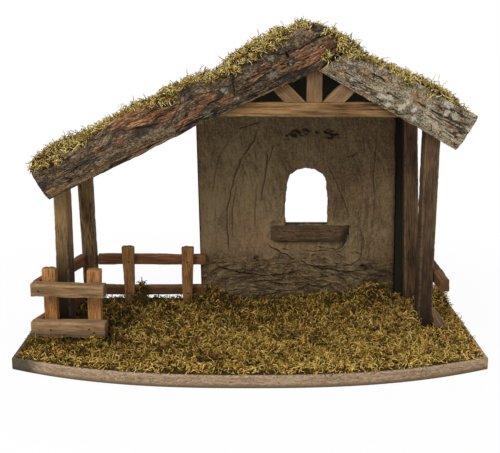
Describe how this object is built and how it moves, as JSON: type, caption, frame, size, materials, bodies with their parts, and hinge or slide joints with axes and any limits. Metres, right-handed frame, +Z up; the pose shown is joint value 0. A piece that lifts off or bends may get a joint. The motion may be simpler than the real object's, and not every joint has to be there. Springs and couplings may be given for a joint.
{
  "type": "nativity stable",
  "caption": "Small open-fronted crib stable with a gabled bark-edged roof, plastered back wall with an arched window, stick posts and fences, moss ground and a bow-fronted board.",
  "frame": {"origin": "on the surface that the board stands on, under the middle of the whole stable's outline", "axes": "+X to the viewer's right along the board, +Y from the open front to the back wall, +Z up"},
  "size_m": [0.497, 0.261, 0.3588],
  "materials": {
    "chipboard": "matte",
    "weathered_stick": "matte",
    "dark_board": "matte",
    "dark_bark": "matte",
    "pale_bark": "matte",
    "fresh_timber": "matte",
    "plaster": "matte",
    "log": "matte",
    "stained_rail": "matte",
    "fence_rail": "matte",
    "picket_wood": "matte",
    "moss": "matte"
  },
  "bodies": {
    "root": {"base_board": "chipboard", "front_left_post": "weathered_stick", "back_left_post": "weathered_stick", "front_right_post": "weathered_stick", "rear_right_post": "weathered_stick", "left_roof_panel": "dark_board", "right_roof_panel": "dark_board", "left_bark_slab": "dark_bark", "right_bark_slab": "pale_bark", "tie_beam": "fresh_timber", "king_post": "fresh_timber", "left_brace": "fresh_timber", "right_brace": "fresh_timber", "wall_board": "dark_board", "wall_plaster": "plaster", "window_sill_log": "log", "back_fence_top_rail": "stained_rail", "back_fence_low_rail": "stained_rail", "back_fence_left_picket": "picket_wood", "back_fence_right_picket": "picket_wood", "front_fence_top_rail": "fence_rail", "front_fence_low_rail": "fence_rail", "front_fence_left_picket": "picket_wood", "front_fence_right_picket": "picket_wood", "left_side_top_rail": "stained_rail", "left_side_low_rail": "stained_rail", "right_side_rail": "stained_rail", "moss_floor": "moss", "left_roof_moss": "moss", "right_roof_moss": "moss"}
  },
  "joints": []
}
